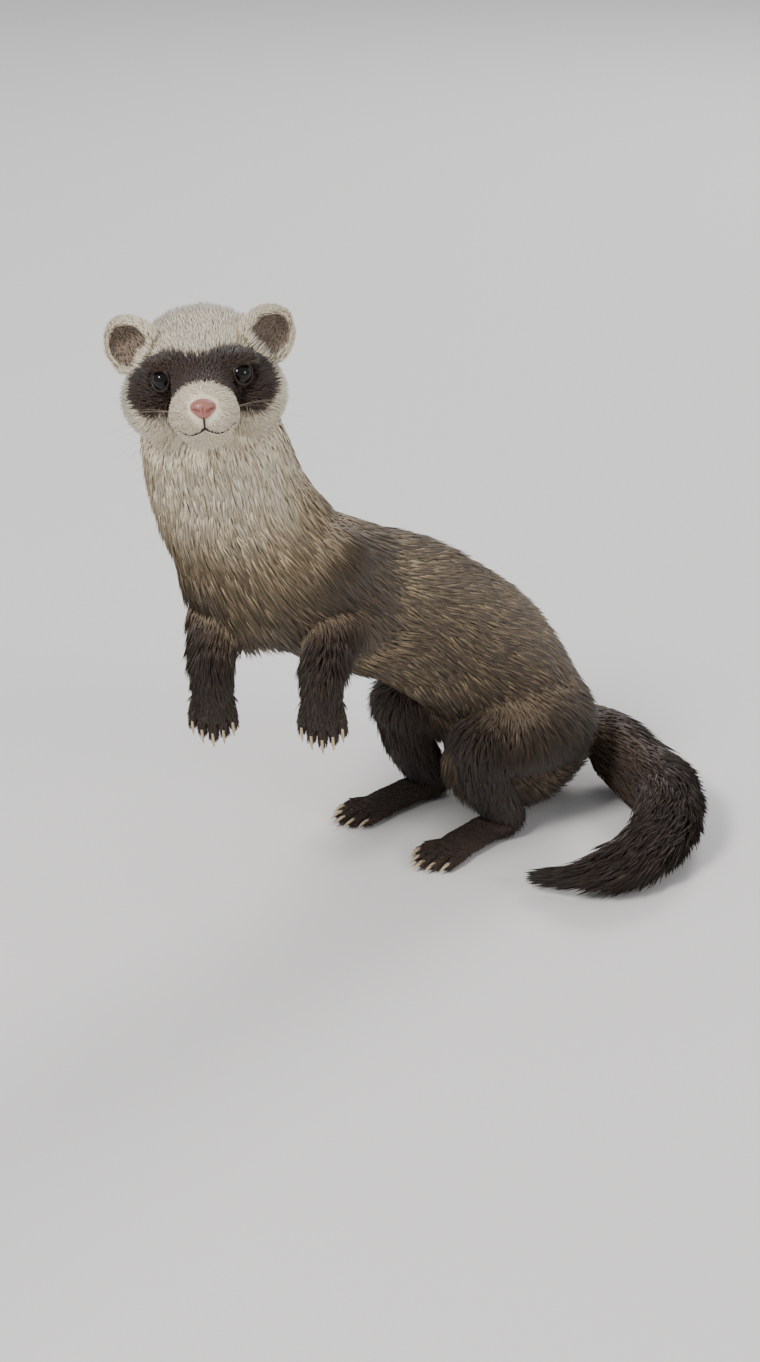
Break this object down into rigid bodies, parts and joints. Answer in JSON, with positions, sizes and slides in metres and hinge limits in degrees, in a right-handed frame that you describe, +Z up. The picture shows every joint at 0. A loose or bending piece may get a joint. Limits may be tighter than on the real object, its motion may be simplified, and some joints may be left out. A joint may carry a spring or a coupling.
{
  "type": "ferret",
  "caption": "Ferret sitting up on its haunches with its forepaws hanging and its tail curled on the floor, as a still life-size model.",
  "frame": {"origin": "on the floor, under the middle of the animal's box", "axes": "+Z up, the face looks along -Y, +X to the animal's left"},
  "size_m": [0.246, 0.1892, 0.2555],
  "materials": {
    "coat": "soft fur, cream under dark guard hair",
    "dark_coat": "dark brown fur",
    "face_coat": "short pale fur with a dark mask",
    "nose_skin": "moist bare skin",
    "eye": "wet and dark"
  },
  "bodies": {
    "root": {"head": "face_coat", "nose": "nose_skin", "ear_left": "face_coat", "ear_right": "face_coat", "eye_left": "eye", "eye_right": "eye", "neck": "coat", "chest": "coat", "loin": "coat", "rump": "coat", "foreleg_left": "dark_coat", "foreleg_right": "dark_coat", "forepaw_left": "dark_coat", "forepaw_right": "dark_coat", "hind_leg_left": "dark_coat", "hind_leg_right": "dark_coat", "hind_foot_left": "dark_coat", "hind_foot_right": "dark_coat", "tail_base": "dark_coat", "tail_middle": "dark_coat", "tail_end": "dark_coat"}
  },
  "joints": []
}
